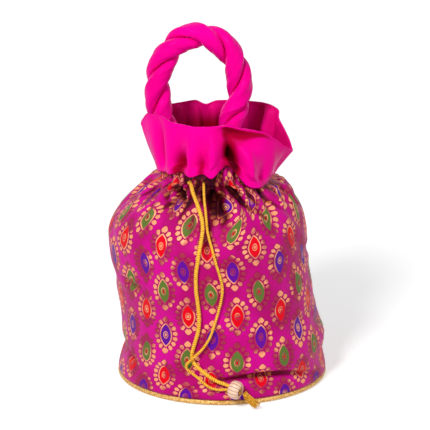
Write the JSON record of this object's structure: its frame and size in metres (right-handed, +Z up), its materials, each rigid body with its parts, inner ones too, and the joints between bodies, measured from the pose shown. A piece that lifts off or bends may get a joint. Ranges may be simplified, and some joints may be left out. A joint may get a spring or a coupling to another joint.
{
  "type": "potli bag",
  "caption": "Round-based drawstring pouch of patterned brocade with a satin frill, a twisted rope handle, and a gold cord with a bead and a tassel.",
  "frame": {"origin": "centre of the round base's underside", "axes": "+Z up through the mouth and the handle, -Y towards the front, where the cord ends hang"},
  "size_m": [0.166, 0.1729, 0.2695],
  "materials": {
    "brocade": "woven silk brocade with gold, purple, green and red motifs",
    "satin": "plain glossy satin",
    "lining_cloth": "plain matte cloth",
    "cardboard": "grey-brown board",
    "gold_braid": "metallic gold braid",
    "gold_cord": "twisted gold-yellow cord",
    "bead": "ribbed, pale gold"
  },
  "bodies": {
    "root": {"base_cover": "lining_cloth", "base_board": "cardboard", "base_piping": "gold_braid", "brocade_body": "brocade", "lining_bag": "lining_cloth", "frill": "satin", "handle_strand_a": "satin", "handle_strand_b": "satin", "drawstring_in_casing": "gold_cord", "drawstring_left": "gold_cord", "drawstring_right": "gold_cord", "bead": "bead", "tassel": "gold_cord"}
  },
  "joints": []
}
